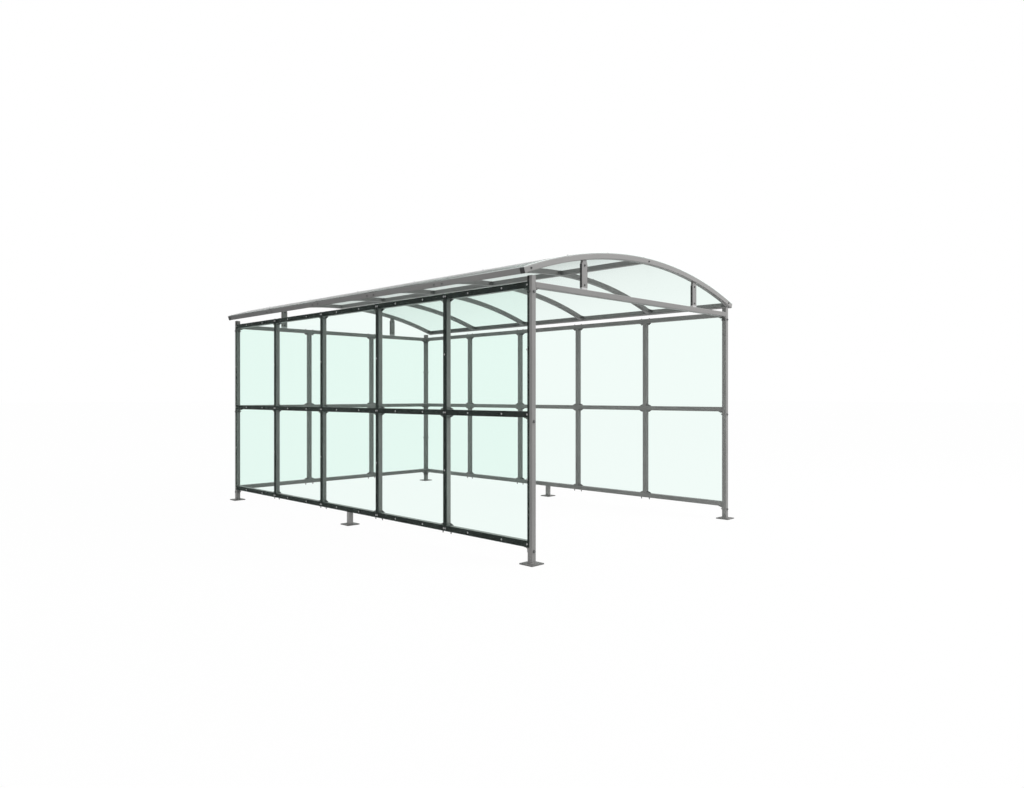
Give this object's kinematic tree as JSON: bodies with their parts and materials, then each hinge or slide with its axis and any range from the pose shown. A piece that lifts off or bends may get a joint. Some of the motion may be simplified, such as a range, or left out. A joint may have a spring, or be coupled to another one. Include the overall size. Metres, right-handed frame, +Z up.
{
  "type": "shopping cart shelter",
  "caption": "Open-fronted shelter for shopping trolleys: square-tube frame on base plates, clear wall sheets on three sides and a barrel-arched clear roof.",
  "frame": {"origin": "on the ground in the middle of the footprint", "axes": "+Z up, +Y along the length towards the rear wall, +X to the right seen from the open front, which faces -Y"},
  "size_m": [3.196, 5.135, 2.5473],
  "materials": {
    "frame_tube": "grey powder-coated steel tube, satin",
    "bracket": "grey powder-coated steel brackets, satin",
    "base_plate": "grey powder-coated steel plate, satin",
    "end_cap": "black moulded plastic, fine grain",
    "wall_sheet": "clear polycarbonate with a faint green tint, glossy",
    "roof_sheet": "clear polycarbonate with a faint green tint, glossy"
  },
  "bodies": {
    "root": {"base_plates": "base_plate", "post_front_left": "frame_tube", "post_front_right": "frame_tube", "post_rear_left": "frame_tube", "post_rear_right": "frame_tube", "feet": "frame_tube", "rail_left_bottom": "frame_tube", "rail_left_middle": "frame_tube", "rail_left_top": "frame_tube", "rail_right_bottom": "frame_tube", "rail_right_middle": "frame_tube", "rail_right_top": "frame_tube", "rail_rear_bottom": "frame_tube", "rail_rear_middle": "frame_tube", "rail_rear_top": "frame_tube", "beam_front": "frame_tube", "mullions_left_lower": "frame_tube", "mullions_left_upper": "frame_tube", "mullions_right_lower": "frame_tube", "mullions_right_upper": "frame_tube", "mullions_rear_lower": "frame_tube", "mullions_rear_upper": "frame_tube", "brackets_left": "bracket", "brackets_right": "bracket", "brackets_rear": "bracket", "brackets_front": "bracket", "panels_left": "wall_sheet", "panels_right": "wall_sheet", "panels_rear": "wall_sheet", "arch_front": "frame_tube", "arch_rear": "frame_tube", "arch_caps": "end_cap", "ribs_left": "frame_tube", "ribs_right": "frame_tube", "eaves_left": "frame_tube", "eaves_right": "frame_tube", "ridge_purlin": "frame_tube", "brackets_eaves_left": "bracket", "brackets_eaves_right": "bracket", "brackets_ridge": "bracket", "uprights_front": "frame_tube", "uprights_rear": "frame_tube", "roof_sheets": "roof_sheet"}
  },
  "joints": []
}
